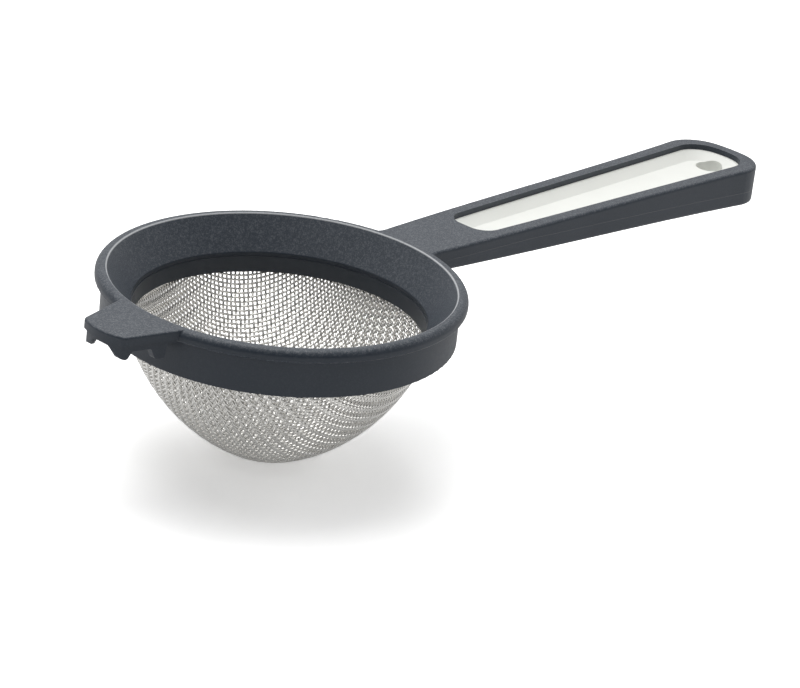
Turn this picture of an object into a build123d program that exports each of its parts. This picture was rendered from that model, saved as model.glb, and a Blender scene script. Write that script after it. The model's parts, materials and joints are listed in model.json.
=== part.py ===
from build123d import *
import os
from math import asin, atan2, cos, degrees, hypot, pi, radians, sin, tan

os.makedirs("parts", exist_ok=True)

# A long-handled tea strainer: a plastic ring with a loop handle and a rest hook, a woven wire bowl
# held in the ring's hub by a clamp ring, and a pale trough-shaped insert in the loop of the handle.
#
# Origin: on the ring's axis, in the plane where the flange meets the skirt and a cup's rim bears.
# +Z is up, +X runs along the handle, and the rest hook points to -X. All sizes are in millimetres.

# ---- ring: the skirt drops into the cup's mouth and the flange rests on its rim ----
SKIRT_RADIUS = 38.6
SKIRT_WALL = 1.4
SKIRT_DEPTH = 8.0
FLANGE_OVERHANG = 1.6
FLANGE_UNDERCUT = 0.4      # rise of the flange's underside from the skirt to its edge
LIP_HEIGHT = 2.9           # flat top of the ring, hook and handle above the seat plane
LIP_ROUND = 1.6            # outer shoulder of the lip
LIP_FLAT = 0.7             # flat crest between that shoulder and the inner slope
STEP_RADIUS = 32.0         # foot of the inner slope
STEP_DEPTH = 7.3           # foot of the inner slope below the lip
STEP_THICKNESS = 0.9
GROOVE_DEPTH = 4.2         # roof of the groove between skirt and hub, below the lip, at the skirt
GROOVE_SLOPE = 2.5         # how much lower that roof is at the hub
HUB_RADIUS = 34.8
HUB_WALL = 1.5
HUB_DEPTH = 9.0            # underside of the hub below the seat plane
RIM_SLOT = 2.4             # room for a cup's wall between the skirt and the undersides of hook and handle
SMALL_ROUND = 0.3          # broken moulded edges
STEP_ROUND = 0.5

# ---- woven bowl, and the ring that clamps its collar into the hub ----
CLOTH_THICKNESS = 0.84     # two crossing wires
BOWL_DEPTH = 29.9          # below the underside of the hub
BOWL_BOTTOM_RADIUS = 22.8
BOWL_BOTTOM_ANGLE = 27.0   # the bottom's arc spans this much to either side of the axis
GRID_BAR = 2.2             # bars of the coarse grid that stands for the weave
GRID_COLUMNS = (6, 12, 12, 24, 24, 24, 24)    # openings in each row, from the bottom up
GRID_CENTRE_RADIUS = 3.0   # closed cloth round the bowl's lowest point
GRID_BORDER = 1.2          # closed cloth below the hub
CLAMP_TOP_WALL = 0.55
CLAMP_BOTTOM_WALL = 1.0
CLAMP_ROUND = 0.35
FIT_GAP = 0.05             # between pieces that are pressed or moulded together

# ---- handle: a loop with a flat top and an underside that drops towards its end ----
HANDLE_REACH = 116.8       # beyond the flange
ROOT_WIDTH = 16.2
WAIST_WIDTH = 19.6
PALM_WIDTH = 21.6
END_WIDTH = 25.8           # across the end corners before they are rounded
WAIST_SHARE = 0.33         # places of the waist and palm widths between root and end corners
PALM_SHARE = 0.65
END_BOW = 2.5              # how far the end bows beyond its corners
END_ROUND = 9.0
INNER_ROUND_LOSS = 0.75    # share of its inset by which a drawn-in plan's end corners are less round
BLEND_ROUND = 3.2          # fillet in plan between the lip and the sides of handle and hook
BLEND_INSET = 0.3          # circle those fillets meet, inside the skirt's outer face
ROOT_THICKNESS = 5.0       # where the handle's deep part starts, outside the slot for a cup's wall
ROOT_ROUND = 1.2
END_THICKNESS = 9.5
HANDLE_TOP_ROUND = 0.7
HANDLE_UNDER_ROUND = 0.8
NECK_LENGTH = 17.9         # from the flange to the loop's opening
RAIL_WIDTH = 3.3           # plastic left beside and beyond the opening
END_RAIL_WIDTH = 4.2       # plastic left at the end corners before they are rounded
LOOP_ROUND = 4.5           # opening's corners at the neck
KEY_DEPTH = 0.7            # rib round the opening's wall that keys the insert
KEY_HEIGHT = 1.0
KEY_DROP = 2.7             # top of that rib below the handle's top

# ---- pale insert: a trough with a hanging hole ----
INSERT_RECESS = 1.3        # insert's rim below the handle's top
TROUGH_DEPTH = 1.8         # trough's floor below that rim
TROUGH_RIM = 0.6           # flat rim beside the trough
TROUGH_SLOPE = 2.4         # width of the trough's sloping sides
INSERT_UNDER_RECESS = 0.4  # insert's underside above the handle's
HANG_HOLE_RADIUS = 3.3
HANG_HOLE_MARGIN = 8.7     # from the hole's centre to the end of the handle

# ---- rest hook: a plate whose walled underside has lobes that catch a cup's rim ----
HOOK_REACH = 12.4          # beyond the flange, at the middle of the front edge
HOOK_FRONT_WIDTH = 12.8    # across the front corners before they are rounded
HOOK_REAR_WIDTH = 19.2     # at the skirt
HOOK_BOW = 1.6             # how far the front edge bows beyond its corners
HOOK_CORNER_ROUND = 2.0
HOOK_TOP_ROUND = 0.5
HOOK_PLATE = 2.0
HOOK_WALL = 1.5
HOOK_WALL_INSET = 0.6
FRONT_LOBE_DROP = 5.2      # front lobes below the lip
FRONT_LOBE_LENGTH = 2.2
NOTCH_DROP = 3.5           # crest of the notch between the lobes, below the lip
REAR_LOBE_DROP = 5.9
REAR_LOBE_LENGTH = 2.6
LOBE_SLOPE = 1.0           # run of each lobe's slanting ends
LOBE_ROUND = 0.7
ARCH_DROP = 2.9            # crest of the arch in the front wall, below the lip
ARCH_CREST_WIDTH = 4.6
ARCH_FOOT_WIDTH = 8.6
ARCH_ROUND = 1.0

# ---- worked-out places ----
FLANGE_RADIUS = SKIRT_RADIUS + FLANGE_OVERHANG
SKIRT_INNER_RADIUS = SKIRT_RADIUS - SKIRT_WALL
CREST_RADIUS = FLANGE_RADIUS - LIP_ROUND
STEP_FOOT_Z = LIP_HEIGHT - STEP_DEPTH
SEAT_Z = STEP_FOOT_Z - STEP_THICKNESS
GROOVE_Z = LIP_HEIGHT - GROOVE_DEPTH
HUB_BORE = HUB_RADIUS - HUB_WALL
COLLAR_RADIUS = HUB_BORE - FIT_GAP
CLAMP_RADIUS = COLLAR_RADIUS - CLOTH_THICKNESS - FIT_GAP
BLEND_RADIUS = SKIRT_RADIUS - BLEND_INSET
HANDLE_END_X = FLANGE_RADIUS + HANDLE_REACH
LOOP_START_X = FLANGE_RADIUS + NECK_LENGTH
HANG_HOLE_X = HANDLE_END_X - HANG_HOLE_MARGIN
HOOK_END_X = -FLANGE_RADIUS - HOOK_REACH
HOOK_CORNER_X = HOOK_END_X + HOOK_BOW


def nearest_vertex(face, point):
    return face.vertices().sort_by_distance(point)[0]


def slab(plan, top_z, bottom_z):
    """Upright block on a plan, between two heights."""
    return extrude(Pos(0, 0, bottom_z) * plan, top_z - bottom_z)


def half_plane(edge_x, direction):
    """Large rectangle on the +X or -X side of edge_x, for trimming plans."""
    size = 4 * HANDLE_END_X
    return Pos(edge_x + direction * size / 2, 0) * Rectangle(size, size)


# ---- ring ----

def ring():
    """Lip, flange, skirt, groove, hub and the sloping inner face, as one revolved section."""
    lip_inner = (CREST_RADIUS - LIP_FLAT, LIP_HEIGHT)
    lip_outer = (FLANGE_RADIUS, LIP_HEIGHT)
    flange_edge = (FLANGE_RADIUS, FLANGE_UNDERCUT)
    skirt_foot = (SKIRT_RADIUS, -SKIRT_DEPTH)
    groove_top = (SKIRT_INNER_RADIUS, GROOVE_Z)
    hub_foot = (HUB_RADIUS, -HUB_DEPTH)
    step_foot = (STEP_RADIUS, STEP_FOOT_Z)
    section = make_face(Polyline(
        lip_inner, lip_outer, flange_edge, (SKIRT_RADIUS, 0),
        skirt_foot, (SKIRT_INNER_RADIUS, -SKIRT_DEPTH), groove_top, (HUB_RADIUS, GROOVE_Z - GROOVE_SLOPE),
        hub_foot, (HUB_BORE, -HUB_DEPTH), (HUB_BORE, SEAT_Z), (STEP_RADIUS, SEAT_Z), step_foot,
        close=True,
    ))
    corner_rounds = {
        lip_inner: SMALL_ROUND, lip_outer: LIP_ROUND, flange_edge: STEP_ROUND, skirt_foot: SMALL_ROUND,
        groove_top: STEP_ROUND, hub_foot: SMALL_ROUND, step_foot: STEP_ROUND,
    }
    for corner, radius in corner_rounds.items():
        section = fillet(nearest_vertex(section, corner), radius)
    return revolve(Plane.XZ * section, Axis.Z)


# ---- handle ----

def handle_plan(side_inset=0, corner_inset=0):
    """Plan from the ring's axis to the handle's bowed end, drawn in at its sides and end corners."""
    root_x = SKIRT_INNER_RADIUS
    end_x = HANDLE_END_X - side_inset
    corner = Vector(end_x - END_BOW, END_WIDTH / 2 - corner_inset)
    span = corner.X - root_x
    side = Spline(
        (root_x, ROOT_WIDTH / 2 - side_inset),
        (root_x + WAIST_SHARE * span, WAIST_WIDTH / 2 - side_inset),
        (root_x + PALM_SHARE * span, PALM_WIDTH / 2 - side_inset),
        corner,
    )
    other_side = side.mirror(Plane.XZ)
    bow = ThreePointArc(corner, (end_x, 0), other_side @ 1)
    root = Polyline(side @ 0, (0, (side @ 0).Y), (0, (other_side @ 0).Y), other_side @ 0)
    plan = make_face([side, bow, other_side, root])
    corner_round = END_ROUND - INNER_ROUND_LOSS * side_inset
    return fillet([nearest_vertex(plan, end) for end in (side @ 1, other_side @ 1)], corner_round)


def loop_plan(inset):
    """Plan of the handle's opening, drawn in by inset."""
    start_x = LOOP_START_X + inset
    opening = handle_plan(RAIL_WIDTH + inset, END_RAIL_WIDTH + inset) & half_plane(start_x, 1)
    corners = opening.vertices().filter_by_position(Axis.X, start_x - 0.01, start_x + 0.01)
    return fillet(corners, LOOP_ROUND - inset)


def blended_to_lip(plan, root_width):
    """The plan from the skirt's inner wall outwards, its sides flaring to meet the lip."""
    joined = Sketch() + plan + Circle(BLEND_RADIUS)
    corners = [
        vertex for vertex in joined.vertices()
        if abs(hypot(vertex.X, vertex.Y) - BLEND_RADIUS) < 0.01 and abs(vertex.Y) > root_width / 4
    ]
    joined = fillet(corners, BLEND_ROUND) - Circle(SKIRT_INNER_RADIUS)
    flare_reach = BLEND_RADIUS * (root_width / 2 + BLEND_ROUND) / (BLEND_RADIUS + BLEND_ROUND)
    side = 1 if plan.center().X > 0 else -1
    near_ring = Rectangle(4 * HANDLE_END_X, 2 * (flare_reach - SMALL_ROUND)) & half_plane(0, side)
    return joined & (near_ring + half_plane(side * FLANGE_RADIUS, side))


def underside(recess):
    """Everything between the handle's top and its sloping underside, raised by recess."""
    start_x = SKIRT_RADIUS + RIM_SLOT
    slope = (END_THICKNESS - ROOT_THICKNESS) / (HANDLE_END_X - start_x)
    far_x = HANDLE_END_X + END_BOW
    start_z = LIP_HEIGHT - ROOT_THICKNESS + recess
    deep_start = (start_x, start_z)
    profile = make_face(Polyline(
        (0, LIP_HEIGHT), (far_x, LIP_HEIGHT), (far_x, start_z - slope * (far_x - start_x)), deep_start,
        (start_x, recess), (0, recess), close=True,
    ))
    root_round = min(ROOT_ROUND, 0.8 * (ROOT_THICKNESS - LIP_HEIGHT))
    profile = fillet(nearest_vertex(profile, deep_start), root_round)
    return extrude(Plane.XZ * profile, END_WIDTH, both=True)


def outer_edges(block, facing):
    """Edges round the block's top (facing 1) or underside (facing -1), except those in the ring."""
    faces = block.faces().filter_by(lambda f: facing * f.normal_at().Z > 0.9)
    edges = faces.sort_by(SortBy.AREA)[-1].edges()
    first_x = BLEND_RADIUS if facing > 0 else SKIRT_RADIUS + RIM_SLOT + ROOT_ROUND + SMALL_ROUND
    return [e for e in edges if hypot((e @ 0.5).X, (e @ 0.5).Y) > first_x - 0.01]


def handle():
    """Loop handle with rounded edges and the rib that keys the insert."""
    depth = LIP_HEIGHT - END_THICKNESS - 1
    block = slab(blended_to_lip(handle_plan(), ROOT_WIDTH), LIP_HEIGHT, depth) & underside(0)
    block = fillet(outer_edges(block, 1), HANDLE_TOP_ROUND)
    block = fillet(outer_edges(block, -1), HANDLE_UNDER_ROUND)
    block -= slab(loop_plan(0), LIP_HEIGHT + 1, depth)
    key_top = LIP_HEIGHT - KEY_DROP
    key = slab(loop_plan(-RAIL_WIDTH / 2) - loop_plan(KEY_DEPTH), key_top, key_top - KEY_HEIGHT)
    return block + key


def handle_insert():
    """Pale trough that fills the loop, grooved round its edge to sit on the key rib."""
    rim_z = LIP_HEIGHT - INSERT_RECESS
    floor_z = rim_z - TROUGH_DEPTH
    depth = LIP_HEIGHT - END_THICKNESS - 1
    body = slab(loop_plan(FIT_GAP), rim_z, depth) & underside(INSERT_UNDER_RECESS)
    trough = loft([
        Pos(0, 0, floor_z) * loop_plan(FIT_GAP + TROUGH_RIM + TROUGH_SLOPE),
        Pos(0, 0, rim_z) * loop_plan(FIT_GAP + TROUGH_RIM),
    ], ruled=True)
    key_top = LIP_HEIGHT - KEY_DROP
    groove = slab(
        loop_plan(-RAIL_WIDTH / 2) - loop_plan(KEY_DEPTH + FIT_GAP),
        key_top + FIT_GAP, key_top - KEY_HEIGHT - FIT_GAP,
    )
    hole = Pos(HANG_HOLE_X, 0, floor_z) * Cylinder(HANG_HOLE_RADIUS, 4 * END_THICKNESS)
    return body - trough - groove - hole


# ---- rest hook ----

def hook_plan(inset):
    """Plan of the hook's plate from the ring's axis outwards, drawn in by inset."""
    slope = (HOOK_REAR_WIDTH - HOOK_FRONT_WIDTH) / 2 / (-HOOK_CORNER_X - SKIRT_RADIUS)
    axis_half_width = HOOK_FRONT_WIDTH / 2 - slope * HOOK_CORNER_X
    corner = (HOOK_CORNER_X, HOOK_FRONT_WIDTH / 2)
    other_corner = (HOOK_CORNER_X, -HOOK_FRONT_WIDTH / 2)
    bow = ThreePointArc(corner, (HOOK_END_X, 0), other_corner)
    root = Polyline(corner, (0, axis_half_width), (0, -axis_half_width), other_corner)
    plan = make_face([bow, root])
    plan = fillet([nearest_vertex(plan, corner), nearest_vertex(plan, other_corner)], HOOK_CORNER_ROUND)
    return offset(plan, -inset, kind=Kind.INTERSECTION) if inset else plan


def lobe_profile():
    """Side view of the hook's walls: front lobe, notch, rear lobe and the slot for a cup's wall."""
    top = LIP_HEIGHT - HOOK_PLATE / 2
    front_foot = HOOK_END_X + HOOK_WALL_INSET + LOBE_SLOPE
    front_end = front_foot + FRONT_LOBE_LENGTH
    rear_end = -SKIRT_RADIUS - RIM_SLOT
    rear_foot = rear_end - REAR_LOBE_LENGTH
    lower_edge = [
        (front_foot, LIP_HEIGHT - FRONT_LOBE_DROP),
        (front_end - LOBE_SLOPE, LIP_HEIGHT - FRONT_LOBE_DROP),
        (front_end, LIP_HEIGHT - NOTCH_DROP),
        (rear_foot - LOBE_SLOPE, LIP_HEIGHT - NOTCH_DROP),
        (rear_foot, LIP_HEIGHT - REAR_LOBE_DROP),
        (rear_end - LOBE_SLOPE / 2, LIP_HEIGHT - REAR_LOBE_DROP),
        (rear_end, 0),
    ]
    profile = make_face(Polyline(
        (HOOK_END_X, top), *lower_edge, (-SKIRT_INNER_RADIUS, 0), (-SKIRT_INNER_RADIUS, top),
        close=True,
    ))
    for point in lower_edge:
        profile = fillet(nearest_vertex(profile, point), LOBE_ROUND)
    return extrude(Plane.XZ * profile, HOOK_REAR_WIDTH, both=True)


def arch():
    """Cutter along X for the arched lower edge of the hook's cross walls."""
    crest_z = LIP_HEIGHT - ARCH_DROP
    foot_z = LIP_HEIGHT - REAR_LOBE_DROP
    crest = [(-ARCH_CREST_WIDTH / 2, crest_z), (ARCH_CREST_WIDTH / 2, crest_z)]
    foot = [(ARCH_FOOT_WIDTH / 2, foot_z), (-ARCH_FOOT_WIDTH / 2, foot_z)]
    outline = make_face(Polyline(*crest, *foot, close=True))
    outline = fillet([nearest_vertex(outline, point) for point in crest], ARCH_ROUND)
    return extrude(Plane.YZ * outline, 2 * HOOK_END_X)


def hook():
    """Flat plate level with the lip, on walls with two pairs of lobes and a cross wall."""
    plate = slab(blended_to_lip(hook_plan(0), HOOK_REAR_WIDTH), LIP_HEIGHT, LIP_HEIGHT - HOOK_PLATE)
    plate = fillet(outer_edges(plate, 1), HOOK_TOP_ROUND)
    outline = hook_plan(HOOK_WALL_INSET) & half_plane(-SKIRT_INNER_RADIUS / 2, -1)
    wall_plan = outline - hook_plan(HOOK_WALL_INSET + HOOK_WALL)
    cross_x = -SKIRT_RADIUS - RIM_SLOT - HOOK_WALL / 2
    wall_plan += outline & Pos(cross_x, 0) * Rectangle(HOOK_WALL, HOOK_REAR_WIDTH)
    walls = slab(wall_plan, LIP_HEIGHT - HOOK_PLATE / 2, LIP_HEIGHT - REAR_LOBE_DROP - 1)
    return plate + ((walls & lobe_profile()) - arch())


def ring_with_arms():
    """The ring joined to the handle and the hook, which end under the crest of its lip."""
    body = ring()
    core = slab(Circle(CREST_RADIUS - LIP_FLAT / 2), LIP_HEIGHT + 1, -HUB_DEPTH - 1)
    for arm in (handle(), hook()):
        body += arm - core
    return body


# ---- woven bowl and clamp ring ----

def bowl_profile(inset):
    """The bowl's bottom arc and side arc in half section, drawn in by inset."""
    bottom_z = -HUB_DEPTH - BOWL_DEPTH
    angle = radians(BOWL_BOTTOM_ANGLE)
    mouth = Vector(COLLAR_RADIUS, -HUB_DEPTH)
    join = Vector(BOWL_BOTTOM_RADIUS * sin(angle), bottom_z + BOWL_BOTTOM_RADIUS * (1 - cos(angle)))
    chord = mouth - join
    side_radius = chord.length / (2 * sin(atan2(chord.Y, chord.X) - angle))
    centre_x = join.X - side_radius * sin(angle)
    end_angle = degrees(asin((mouth.X - inset - centre_x) / (side_radius - inset)))
    bottom = JernArc((0, bottom_z + inset), (1, 0), BOWL_BOTTOM_RADIUS - inset, BOWL_BOTTOM_ANGLE)
    side = JernArc(bottom @ 1, bottom % 1, side_radius - inset, end_angle - BOWL_BOTTOM_ANGLE)
    return bottom, side


def bowl_section(inset):
    """Half section of the space under the bowl's surface, drawn in by inset, up to the collar's top."""
    top_z = SEAT_Z - FIT_GAP
    bottom, side = bowl_profile(inset)
    rest = Polyline(side @ 1, ((side @ 1).X, top_z), (0, top_z), bottom @ 0)
    return make_face([bottom, side, rest])


def grid_row(path, start, end, columns):
    """Cutters for one row of openings, from start to end along the cloth, with even bars between them."""
    low, high = (path.position_at(length, PositionMode.LENGTH) for length in (start, end))
    middle, along = (low + high) / 2, (high - low).normalized()
    half_height = (high - low).length / 2
    low_half, high_half = (place.X * tan(pi / columns) - GRID_BAR / 2 for place in (low, high))
    through = Plane((middle.X, 0, middle.Y), x_dir=(0, 1, 0), z_dir=(along.Y, 0, -along.X))
    opening = make_face(Polyline(
        (-low_half, -half_height), (low_half, -half_height),
        (high_half, half_height), (-high_half, half_height), close=True,
    ))
    cutter = extrude(through * opening, 2 * CLOTH_THICKNESS, both=True)
    return [Rot(0, 0, turn * 360 / columns) * cutter for turn in range(columns)]


def mesh_bowl():
    """Woven bowl as a thin shell with an upright collar and a coarse grid of openings."""
    section = bowl_section(0) - bowl_section(CLOTH_THICKNESS)
    path = Wire(bowl_profile(CLOTH_THICKNESS / 2))
    pitch = (path.length - GRID_BORDER - GRID_CENTRE_RADIUS + GRID_BAR) / len(GRID_COLUMNS)
    openings = []
    for row, columns in enumerate(GRID_COLUMNS):
        start = GRID_CENTRE_RADIUS + row * pitch
        openings += grid_row(path, start, start + pitch - GRID_BAR, columns)
    return revolve(Plane.XZ * section, Axis.Z) - openings


def clamp_ring():
    """Smooth tapered band that presses the bowl's collar against the hub."""
    top_z = SEAT_Z - FIT_GAP
    lower_edge = (CLAMP_RADIUS - CLAMP_BOTTOM_WALL, -HUB_DEPTH)
    section = make_face(Polyline(
        (CLAMP_RADIUS, top_z), (CLAMP_RADIUS, -HUB_DEPTH), lower_edge,
        (CLAMP_RADIUS - CLAMP_TOP_WALL, top_z), close=True,
    ))
    return revolve(Plane.XZ * fillet(nearest_vertex(section, lower_edge), CLAMP_ROUND), Axis.Z)


NODES = {
    "frame": ring_with_arms(),
    "clamp_ring": clamp_ring(),
    "mesh_bowl": mesh_bowl(),
    "handle_insert": handle_insert(),
}

for node, shape in NODES.items():
    export_step(shape, f"parts/{node}.step")
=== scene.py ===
import itertools
import json
import math

import bpy
from mathutils import Matrix, Vector

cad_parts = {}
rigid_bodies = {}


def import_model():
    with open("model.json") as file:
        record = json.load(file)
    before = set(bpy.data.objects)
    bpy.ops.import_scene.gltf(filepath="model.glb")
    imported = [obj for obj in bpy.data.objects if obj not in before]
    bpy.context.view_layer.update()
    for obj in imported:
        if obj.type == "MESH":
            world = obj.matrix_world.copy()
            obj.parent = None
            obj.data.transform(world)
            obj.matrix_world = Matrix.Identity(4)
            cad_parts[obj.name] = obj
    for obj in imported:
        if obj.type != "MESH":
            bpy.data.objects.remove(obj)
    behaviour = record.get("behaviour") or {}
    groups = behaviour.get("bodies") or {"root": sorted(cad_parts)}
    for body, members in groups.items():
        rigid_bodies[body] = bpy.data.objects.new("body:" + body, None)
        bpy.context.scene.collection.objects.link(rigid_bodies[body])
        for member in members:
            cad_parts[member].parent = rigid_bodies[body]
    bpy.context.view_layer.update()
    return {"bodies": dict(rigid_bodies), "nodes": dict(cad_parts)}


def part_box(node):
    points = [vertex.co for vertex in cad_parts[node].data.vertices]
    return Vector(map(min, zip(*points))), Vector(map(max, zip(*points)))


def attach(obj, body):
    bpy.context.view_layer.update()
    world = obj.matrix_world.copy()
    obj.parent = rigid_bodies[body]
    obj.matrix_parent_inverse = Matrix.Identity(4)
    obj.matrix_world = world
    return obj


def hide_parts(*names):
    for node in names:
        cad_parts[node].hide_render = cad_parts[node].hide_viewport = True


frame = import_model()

MM = 0.001
BODY = list(frame["bodies"])[0]

# woven cloth
PITCH = 1.0 * MM                 # between neighbouring wires, both ways
WIRE_RADIUS = 0.21 * MM          # across the cloth's thickness
WIRE_HALF_WIDTH = 0.26 * MM      # along the cloth, a little wider than deep
WIRE_SIDES = 6                   # corners of a wire's section
WEAVE_REPEAT = 4                 # over two, under two
WEAVE_TURN = math.radians(-30)   # one set of wires, from the handle's axis, at the bowl's bottom
TUCK = 1.2 * MM                  # the wires run this far up behind the clamp ring
SHORTEST_RUN = 3                 # places along a wire; shorter scraps at the rim are left out

# bowl's middle surface, as in the frame: bottom arc, side arc
SHEET = 0.42 * MM                # half the cloth's thickness
BOTTOM_RADIUS = 22.8 * MM - SHEET
BOTTOM_ANGLE = math.radians(27.0)

# laying out the cloth on that surface, in metres
NEWTON_ROUNDS = 8
SLOPE_STEP = 1e-7                # for slopes taken by difference
NEAR_ENOUGH = 1e-9
POLE_LENGTH = 1e-9               # stands for zero at the lowest point
FIRST_GUESS = 0.3                # of a step, beyond the farther neighbour

# camera, in metres where not said otherwise
LENS, SENSOR_WIDTH = 144.0, 36.0     # mm
CLIP_END = 10.0
CAMERA_PLACE = (-0.46245, -0.4367, 0.2587)
CAMERA_AIM = (0.01445, -0.02257, -0.00789)
CAMERA_ROLL = 6.54               # degrees

# floor
FLOOR_HALF = 6.0                 # m
FLOOR_BOUNCE = (0.8, 0.8, 0.8, 1)    # what it throws back on to the object
FLOOR_ROUGHNESS = 0.9
FLOOR_WHITE = 1.55               # as the camera sees it: clips to white outside the shadow

# light
WHITE = (1, 1, 1, 1)
STUDIO_BRIGHT_SIDE = (0.5, 0.55, 0.65)
STUDIO_LOW, STUDIO_HIGH = 0.05, 0.85
STUDIO_ACROSS = 0.45             # share of that range, square to the bright side
STUDIO_RISE = 0.75               # added to it toward the bright side
KEY_PLACE, KEY_AIM = (0.06, 0.24, 0.75), (0, 0, 0)
KEY_SIZE = 0.8
KEY_POWER = 4.6

# moulded plastic: lengths in mm, noise scales per mm
LEVEL_FROM, LEVEL_GAIN = 0.35, 2.2         # of a normal's upright share
FINE_GRAIN, COARSE_GRAIN, CLOUD = 3.2, 1.3, 0.05
FINE_SHARE, COARSE_SHARE, CLOUD_SHARE = 0.7, 0.3, 0.12
SPARK_FROM, SPARK_GAIN = 0.46, 6.0
WALL_SPARK, LEVEL_SPARK_AND_SHEEN = 0.06, 0.46       # the second is added on level faces, as painted sheen of the light from above
DARK, SPARKED = (0.020, 0.029, 0.043), (0.18, 0.195, 0.215)
CREST, CREST_HALF = 37.75, 0.28            # radius of the lip's top edge, where a painted highlight line runs; half the line's width
CREST_Z, CREST_RISE = 2.5, 0.25            # the painted highlight starts here and is full this much higher
# painted highlight on the lip's top edge: its even share, its share following the fine grain, and
# its colour
HIGHLIGHT_EVEN, HIGHLIGHT_GRAINED = 0.6, 0.4
CREST_HIGHLIGHT = (0.80, 0.82, 0.84)
PARTING_X, PARTING_Z = 70.0, 0.3           # mould's parting line: level up to this x, then falling
PARTING_SLOPE, PARTING_HALF = 0.0405, 0.14
PARTING_START, PARTING_FADE = 43.0, 4.0    # x where the line starts, and its fading length
# the parting line's paleness is a painted highlight, as of light catching its small ledge
SEAM_HIGHLIGHT, SEAM_SHARE = (0.16, 0.17, 0.18), 0.35
WALL_RELIEF, LEVEL_RELIEF, SEAM_RELIEF = 0.15, 0.85, 0.6
MOULDED_DEPTH = 0.10

# the other finishes, in the same units
BAND_HAZE, BAND_TEXTURE, BAND_DEPTH = 0.4, 6.0, 0.03
BAND_LOW, BAND_HIGH = (0.026, 0.033, 0.042), (0.042, 0.050, 0.061)
PALE_HAZE, PALE_TEXTURE, PALE_DEPTH = 0.12, 4.0, 0.02
PALE_LOW, PALE_HIGH = (0.80, 0.81, 0.77), (0.86, 0.87, 0.83)
STREAK = 1.5
STEEL_LOW, STEEL_HIGH = (0.60, 0.59, 0.57), (0.96, 0.95, 0.92)


# ---- shader maths ----

# sockets of the Mix node when it mixes colours
MIX_FACTOR, MIX_LOW, MIX_HIGH, MIX_RESULT = 0, 6, 7, 2


class Socket:
    """A value or a colour in a material's node tree, with the operators that its shaders use."""

    def __init__(self, tree, link):
        self.tree = tree
        self.link = link

    def maths(self, operation, *values):
        node = self.tree.nodes.new("ShaderNodeMath")
        node.operation = operation
        for slot, value in zip(node.inputs, values):
            feed(self.tree, slot, value)
        return Socket(self.tree, node.outputs[0])

    def __add__(self, other):
        return self.maths("ADD", self, other)

    def __radd__(self, other):
        return self.maths("ADD", other, self)

    def __sub__(self, other):
        return self.maths("SUBTRACT", self, other)

    def __rsub__(self, other):
        return self.maths("SUBTRACT", other, self)

    def __mul__(self, other):
        return self.maths("MULTIPLY", self, other)

    def __rmul__(self, other):
        return self.maths("MULTIPLY", other, self)

    def __truediv__(self, other):
        return self.maths("DIVIDE", self, other)

    def __pow__(self, other):
        return self.maths("POWER", self, other)

    def __abs__(self):
        return self.maths("ABSOLUTE", self)

    def at_least(self, floor):
        return self.maths("MAXIMUM", self, floor)

    def clamp(self):
        return self.maths("MINIMUM", self.at_least(0.0), 1.0)


def feed(tree, slot, value):
    """Links a socket to a node's input, or sets a plain value there."""
    if isinstance(value, Socket):
        tree.links.new(value.link, slot)
    else:
        slot.default_value = value


def spoken(key):
    """The name of a node's input, written as a keyword."""
    return key.replace("_", " ")


class Graph:
    """A node tree whose nodes are made by name, with settings first and then sockets."""

    def __init__(self, tree):
        self.tree = tree

    def node(self, kind, settings=None, output=0, **sockets):
        node = self.tree.nodes.new("ShaderNode" + kind)
        for key, value in (settings or {}).items():
            setattr(node, key, value)
        for key, value in sockets.items():
            self.feed(node.inputs[spoken(key)], value)
        return Socket(self.tree, node.outputs[output])

    def feed(self, slot, value):
        feed(self.tree, slot, value)

    def mix_shader(self, factor, first, second):
        node = self.tree.nodes.new("ShaderNodeMixShader")
        for slot, value in zip(node.inputs, (factor, first, second)):
            self.feed(slot, value)
        return Socket(self.tree, node.outputs[0])


class Shader(Graph):
    """A material with one Principled surface."""

    def __init__(self, name, **fixed):
        self.material = bpy.data.materials.new(name)
        self.material.use_nodes = True
        super().__init__(self.material.node_tree)
        self.surface = self.tree.nodes["Principled BSDF"]
        self.set(**fixed)

    def set(self, **sockets):
        for key, value in sockets.items():
            self.feed(self.surface.inputs[spoken(key)], value)

    def position(self):
        """Place on the object, in millimetres."""
        place = self.node("TexCoord", output="Object")
        return self.node("VectorMath", {"operation": "SCALE"}, Vector=place, Scale=1 / MM)

    def parts(self, vector):
        """X, Y and Z of a vector."""
        return [self.node("SeparateXYZ", output=axis, Vector=vector) for axis in "XYZ"]

    def upward(self):
        """1 on level faces, 0 on upright walls."""
        _, _, z = self.parts(self.node("TexCoord", output="Normal"))
        return ((abs(z) - LEVEL_FROM) * LEVEL_GAIN).clamp()

    def noise(self, place, scale, detail=2.0, roughness=0.5):
        return self.node(
            "TexNoise", Vector=place, Scale=scale, Detail=detail, Roughness=roughness)

    def mix(self, factor, low, high):
        """From one colour to another."""
        node = self.tree.nodes.new("ShaderNodeMix")
        node.data_type = "RGBA"
        self.feed(node.inputs[MIX_FACTOR], factor)
        for slot, colour in ((MIX_LOW, low), (MIX_HIGH, high)):
            self.feed(node.inputs[slot], (*colour, 1.0) if isinstance(colour, tuple) else colour)
        return Socket(self.tree, node.outputs[MIX_RESULT])

    def bump(self, height, distance, strength):
        return self.node("Bump", Height=height, Distance=distance, Strength=strength)


def coloured(node, shader):
    """A carried-over CAD node takes this shader in all its material slots."""
    obj = frame["nodes"][node]
    for slot in obj.material_slots:
        slot.material = shader.material
    if not obj.material_slots:
        obj.data.materials.append(shader.material)


# ---- finishes ----

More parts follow.
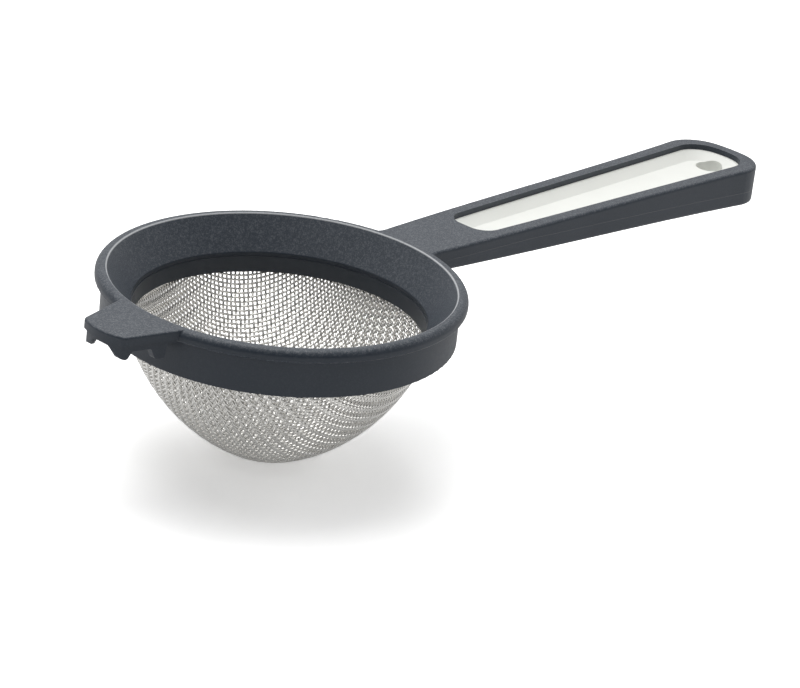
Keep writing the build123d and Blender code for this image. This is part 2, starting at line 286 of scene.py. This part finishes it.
def moulded_dark():
    """Charcoal plastic: grain with painted sheen on level faces, smoother walls, a parting line
    with a painted highlight, and a painted highlight along the lip.
    """
    shader = Shader("moulded_dark", Specular_IOR_Level=0.45)
    place = shader.position()
    x, y, z = shader.parts(place)
    radius = (x * x + y * y) ** 0.5
    level = shader.upward()

    fine = shader.noise(place, FINE_GRAIN, roughness=0.7)
    coarse = shader.noise(place, COARSE_GRAIN, detail=1.0)
    spark = ((fine * FINE_SHARE + coarse * COARSE_SHARE - SPARK_FROM) * SPARK_GAIN).clamp()
    cloud = shader.noise(place, CLOUD)
    # light speckles are grain; their extra share on level faces is painted sheen
    grain_and_sheen = spark * (WALL_SPARK + LEVEL_SPARK_AND_SHEEN * level)
    colour = shader.mix((grain_and_sheen + (cloud - 0.5) * CLOUD_SHARE).clamp(), DARK, SPARKED)

    # painted highlight: a pale line along the lip's top edge, standing in for light glinting there
    crest_glint = (1.0 - abs(radius - CREST) / CREST_HALF).clamp()
    crest_glint = crest_glint * ((z - CREST_Z) / CREST_RISE).clamp()
    colour = shader.mix(crest_glint * (HIGHLIGHT_EVEN + HIGHLIGHT_GRAINED * fine).clamp(), colour, CREST_HIGHLIGHT)

    seam_z = PARTING_Z - PARTING_SLOPE * (x - PARTING_X).at_least(0.0)
    seam_and_highlight = (1.0 - abs(z - seam_z) / PARTING_HALF).clamp()
    seam_and_highlight = seam_and_highlight * (1.0 - level) * ((x - PARTING_START) / PARTING_FADE).clamp()
    # painted highlight along the parting line; the relief further down is the real line
    colour = shader.mix(seam_and_highlight * SEAM_SHARE, colour, SEAM_HIGHLIGHT)

    relief = fine * (WALL_RELIEF + LEVEL_RELIEF * level) + seam_and_highlight * SEAM_RELIEF
    shader.set(
        Base_Color=colour,
        Roughness=0.36 + 0.16 * coarse,
        Normal=shader.bump(relief, distance=MOULDED_DEPTH * MM, strength=0.55),
    )
    return shader


def band_dark():
    """Smooth satin black plastic of the clamp ring."""
    shader = Shader("band_dark", Specular_IOR_Level=0.45)
    place = shader.position()
    haze = shader.noise(place, BAND_HAZE, detail=3.0, roughness=0.6)
    shader.set(
        Base_Color=shader.mix(haze, BAND_LOW, BAND_HIGH),
        Roughness=0.36 + 0.1 * haze,
        Normal=shader.bump(
            shader.noise(place, BAND_TEXTURE), distance=BAND_DEPTH * MM, strength=0.2),
    )
    return shader


def pale_insert():
    """Warm white satin plastic."""
    shader = Shader("pale_insert", Specular_IOR_Level=0.4)
    place = shader.position()
    haze = shader.noise(place, PALE_HAZE)
    shader.set(
        Base_Color=shader.mix(haze, PALE_LOW, PALE_HIGH),
        Roughness=0.38 + 0.1 * haze,
        Normal=shader.bump(
            shader.noise(place, PALE_TEXTURE), distance=PALE_DEPTH * MM, strength=0.2),
    )
    return shader


def drawn_wire():
    """Bright drawn stainless wire."""
    shader = Shader("drawn_wire", Metallic=1.0)
    place = shader.position()
    streak = shader.noise(place, STREAK, detail=3.0, roughness=0.6)
    shader.set(
        Base_Color=shader.mix(streak, STEEL_LOW, STEEL_HIGH),
        Roughness=0.05 + 0.08 * streak,
    )
    return shader


# ---- woven bowl ----

class BowlSurface:
    """Middle surface of the cloth, followed by the distance from its lowest point."""

    def __init__(self):
        low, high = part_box("mesh_bowl")
        outer = high[0]
        mouth_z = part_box("clamp_ring")[0][2]
        self.collar = outer - SHEET
        self.bottom_z = low[2]

        # outer face: the side arc leaves the bottom arc without a corner and ends at the mouth
        outer_bottom = BOTTOM_RADIUS + SHEET
        join = Vector((
            outer_bottom * math.sin(BOTTOM_ANGLE),
            self.bottom_z + outer_bottom * (1 - math.cos(BOTTOM_ANGLE)),
        ))
        chord = Vector((outer, mouth_z)) - join
        turn = math.atan2(chord.y, chord.x) - BOTTOM_ANGLE
        self.side = chord.length / (2 * math.sin(turn))
        inward = Vector((-math.sin(BOTTOM_ANGLE), math.cos(BOTTOM_ANGLE)))
        self.centre = join + self.side * inward

        # the middle surface, half a thickness inside it
        self.side -= SHEET
        self.end_angle = math.asin((self.collar - self.centre.x) / self.side)
        self.bottom_length = BOTTOM_RADIUS * BOTTOM_ANGLE
        self.mouth = self.bottom_length + self.side * (self.end_angle - BOTTOM_ANGLE)

    def profile(self, length):
        """(radius, height, slope angle) at this distance along the meridian."""
        if length < self.bottom_length:
            angle = length / BOTTOM_RADIUS
            top = self.bottom_z + SHEET + BOTTOM_RADIUS
            return BOTTOM_RADIUS * math.sin(angle), top - BOTTOM_RADIUS * math.cos(angle), angle
        if length < self.mouth:
            angle = BOTTOM_ANGLE + (length - self.bottom_length) / self.side
            return (
                self.centre.x + self.side * math.sin(angle),
                self.centre.y - self.side * math.cos(angle),
                angle,
            )
        mouth_z = self.centre.y - self.side * math.cos(self.end_angle)
        return self.collar, mouth_z + length - self.mouth, math.pi / 2

    def point(self, length, bearing):
        radius, height, _ = self.profile(length)
        return Vector((radius * math.cos(bearing), radius * math.sin(bearing), height))

    def outward(self, length, bearing):
        _, _, slope = self.profile(length)
        out = math.sin(slope)
        return Vector((out * math.cos(bearing), out * math.sin(bearing), -math.cos(slope)))


def step_to(surface, first, second, step, guess):
    """The surface place one step from both neighbours, found by Newton's method."""
    length, bearing = guess
    for _ in range(NEWTON_ROUNDS):
        here = surface.point(length, bearing)
        misses = [(here - first).length - step, (here - second).length - step]
        swing = SLOPE_STEP / length
        along = (surface.point(length + SLOPE_STEP, bearing) - here) / SLOPE_STEP
        across = (surface.point(length, bearing + swing) - here) / swing
        pulls = [(here - end).normalized() for end in (first, second)]
        (a, b), (c, d) = [(pull.dot(along), pull.dot(across)) for pull in pulls]
        scale = a * d - b * c
        length -= (misses[0] * d - misses[1] * b) / scale
        bearing -= (a * misses[1] - c * misses[0]) / scale
        if max(map(abs, misses)) < NEAR_ENOUGH:
            break
    return length, bearing


def net(surface):
    """(length, bearing) of a quarter of the cloth's net, at half a pitch.

    Steps are equal both ways, because the wires keep their spacing when the cloth is formed.
    """
    step = PITCH / 2
    limit = surface.mouth + TUCK
    count = int(limit / step) + 2
    places = {(0, 0): (POLE_LENGTH, math.pi / 4)}
    for i in range(1, count):
        places[i, 0] = (i * step, 0.0)
        places[0, i] = (i * step, math.pi / 2)
    for i in range(1, count):
        for j in range(1, count):
            left, below = places.get((i - 1, j)), places.get((i, j - 1))
            back = places.get((i - 1, j - 1))
            if not (left and below and back):
                continue
            if min(left[0], below[0]) > limit:
                continue
            guess = max(left[0], below[0]) + FIRST_GUESS * step, (left[1] + below[1]) / 2
            ends = surface.point(*left), surface.point(*below)
            places[i, j] = step_to(surface, *ends, step, guess)
    return places


def over(i, j):
    """1 where the warp passes inside the weft, -1 where it passes outside."""
    return 1 if ((i - j) // 2) % WEAVE_REPEAT < WEAVE_REPEAT / 2 else -1


def woven_bowl():
    """Warp and weft of a two-over-two twill, each wire rising and dipping past those it crosses."""
    surface = BowlSurface()
    places = net(surface)
    limit = surface.mouth + TUCK
    reach = max(i for i, _ in places)

    def place(i, j):
        found = places.get((abs(i), abs(j)))
        if not found or found[0] > limit:
            return None
        length, bearing = found
        bearing = bearing if i >= 0 else math.pi - bearing
        bearing = bearing if j >= 0 else -bearing
        return length, bearing + WEAVE_TURN

    def woven_at(spot, depth):
        """A wire's centre, this deep inside the middle surface, and the surface's normal."""
        normal = surface.outward(*spot)
        return surface.point(*spot) - depth * normal, normal

    pieces = []
    for name, swap in (("warp_wires", False), ("weft_wires", True)):
        full_depth = -WIRE_RADIUS if swap else WIRE_RADIUS

        def crossing(k, wire):
            return (k, wire) if swap else (wire, k)

        def share(k, wire):
            """Full at the odd places, where wires cross, and the neighbours' mean between."""
            if k % 2:
                return over(*crossing(k, wire))
            return (over(*crossing(k - 1, wire)) + over(*crossing(k + 1, wire))) / 2

        verts, faces = [], []
        for wire in range(-reach | 1, reach, 2):
            spots = [(k, place(*crossing(k, wire))) for k in range(-reach, reach + 1)]
            stretches = itertools.groupby(spots, key=lambda item: item[1] is not None)
            for on_bowl, stretch in stretches:
                if not on_bowl:
                    continue
                run = [woven_at(spot, share(k, wire) * full_depth) for k, spot in stretch]
                if len(run) >= SHORTEST_RUN:
                    tube(run, verts, faces)
        mesh = bpy.data.meshes.new(name)
        mesh.from_pydata(verts, [], faces)
        mesh.shade_smooth()
        piece = bpy.data.objects.new(name, mesh)
        bpy.context.scene.collection.objects.link(piece)
        pieces.append(piece)
    return pieces


def tube(run, verts, faces):
    """Adds an oval wire along a run of (centre, surface normal) to the mesh lists."""
    base = len(verts)
    last = len(run) - 1
    for k, (centre, normal) in enumerate(run):
        along = (run[min(k + 1, last)][0] - run[max(k - 1, 0)][0]).normalized()
        side = along.cross(normal).normalized()
        up = side.cross(along)
        for n in range(WIRE_SIDES):
            angle = 2 * math.pi * n / WIRE_SIDES
            high, wide = WIRE_RADIUS * math.cos(angle), WIRE_HALF_WIDTH * math.sin(angle)
            verts.append(centre + high * up + wide * side)
    for k in range(last):
        for n in range(WIRE_SIDES):
            a = base + k * WIRE_SIDES + n
            b = base + k * WIRE_SIDES + (n + 1) % WIRE_SIDES
            faces.append((a, b, b + WIRE_SIDES, a + WIRE_SIDES))
    faces.append(tuple(base + n for n in reversed(range(WIRE_SIDES))))
    faces.append(tuple(base + last * WIRE_SIDES + n for n in range(WIRE_SIDES)))


# ---- stage ----

def aimed(place, aim):
    """The turn that makes a camera or a light at this place look at the aim."""
    return (Vector(aim) - Vector(place)).to_track_quat("-Z", "Y")


def camera():
    """Looks down over the hook's side of the ring, with the handle going away to the right."""
    data = bpy.data.cameras.new("camera")
    data.lens = LENS
    data.sensor_width = SENSOR_WIDTH
    data.clip_end = CLIP_END
    obj = bpy.data.objects.new("camera", data)
    roll = Matrix.Rotation(math.radians(CAMERA_ROLL), 3, "Z")
    turn = aimed(CAMERA_PLACE, CAMERA_AIM).to_matrix() @ roll
    obj.matrix_world = Matrix.Translation(CAMERA_PLACE) @ turn.to_4x4()
    bpy.context.scene.collection.objects.link(obj)
    bpy.context.scene.camera = obj


def floor():
    """Plain white floor under the bowl, which keeps the shadow and clips to white away from it."""
    size = FLOOR_HALF
    mesh = bpy.data.meshes.new("floor")
    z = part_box("mesh_bowl")[0][2]
    corners = [(-size, -size, z), (size, -size, z), (size, size, z), (-size, size, z)]
    mesh.from_pydata(corners, [], [(0, 1, 2, 3)])
    obj = bpy.data.objects.new("floor", mesh)
    bpy.context.scene.collection.objects.link(obj)
    shader = Shader(
        "floor_white",
        Base_Color=FLOOR_BOUNCE, Roughness=FLOOR_ROUGHNESS, Specular_IOR_Level=0.0,
    )
    seen = shader.node("LightPath", output="Is Camera Ray")
    plain = Socket(shader.tree, shader.surface.outputs[0])
    bright = shader.node("BsdfDiffuse", Color=(FLOOR_WHITE, FLOOR_WHITE, FLOOR_WHITE, 1))
    mixed = shader.mix_shader(seen, plain, bright)
    shader.feed(shader.tree.nodes["Material Output"].inputs["Surface"], mixed)
    mesh.materials.append(shader.material)


def square_light(name, place, aim, size, power):
    data = bpy.data.lights.new(name, "AREA")
    data.shape = "RECTANGLE"
    data.size = data.size_y = size
    data.energy = power
    obj = bpy.data.objects.new(name, data)
    obj.location = place
    obj.rotation_euler = aimed(place, aim).to_euler()
    bpy.context.scene.collection.objects.link(obj)


def lights():
    """A pale studio, brighter overhead and behind the object, and one soft box."""
    world = bpy.data.worlds.new("studio")
    world.use_nodes = True
    bpy.context.scene.world = world
    graph = Graph(world.node_tree)
    dot = graph.tree.nodes.new("ShaderNodeVectorMath")
    dot.operation = "DOT_PRODUCT"
    graph.feed(dot.inputs[0], graph.node("TexCoord", output="Generated"))
    graph.feed(dot.inputs[1], STUDIO_BRIGHT_SIDE)
    toward = Socket(graph.tree, dot.outputs["Value"])
    share = (STUDIO_ACROSS + STUDIO_RISE * toward).clamp()
    strength = STUDIO_LOW + (STUDIO_HIGH - STUDIO_LOW) * share
    lit = graph.node("Background", Color=WHITE, Strength=strength)
    white = graph.node("Background", Color=WHITE, Strength=1.0)
    seen = graph.node("LightPath", output="Is Camera Ray")
    mixed = graph.mix_shader(seen, lit, white)
    graph.feed(graph.tree.nodes["World Output"].inputs["Surface"], mixed)
    square_light("key", KEY_PLACE, KEY_AIM, KEY_SIZE, KEY_POWER)


# ---- dressing ----

view = bpy.context.scene.view_settings
view.view_transform = "Standard"

coloured("frame", moulded_dark())
coloured("clamp_ring", band_dark())
coloured("handle_insert", pale_insert())
wire = drawn_wire()
for piece in woven_bowl():
    piece.data.materials.append(wire.material)
    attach(piece, BODY)
    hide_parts("mesh_bowl")
floor()
lights()
camera()
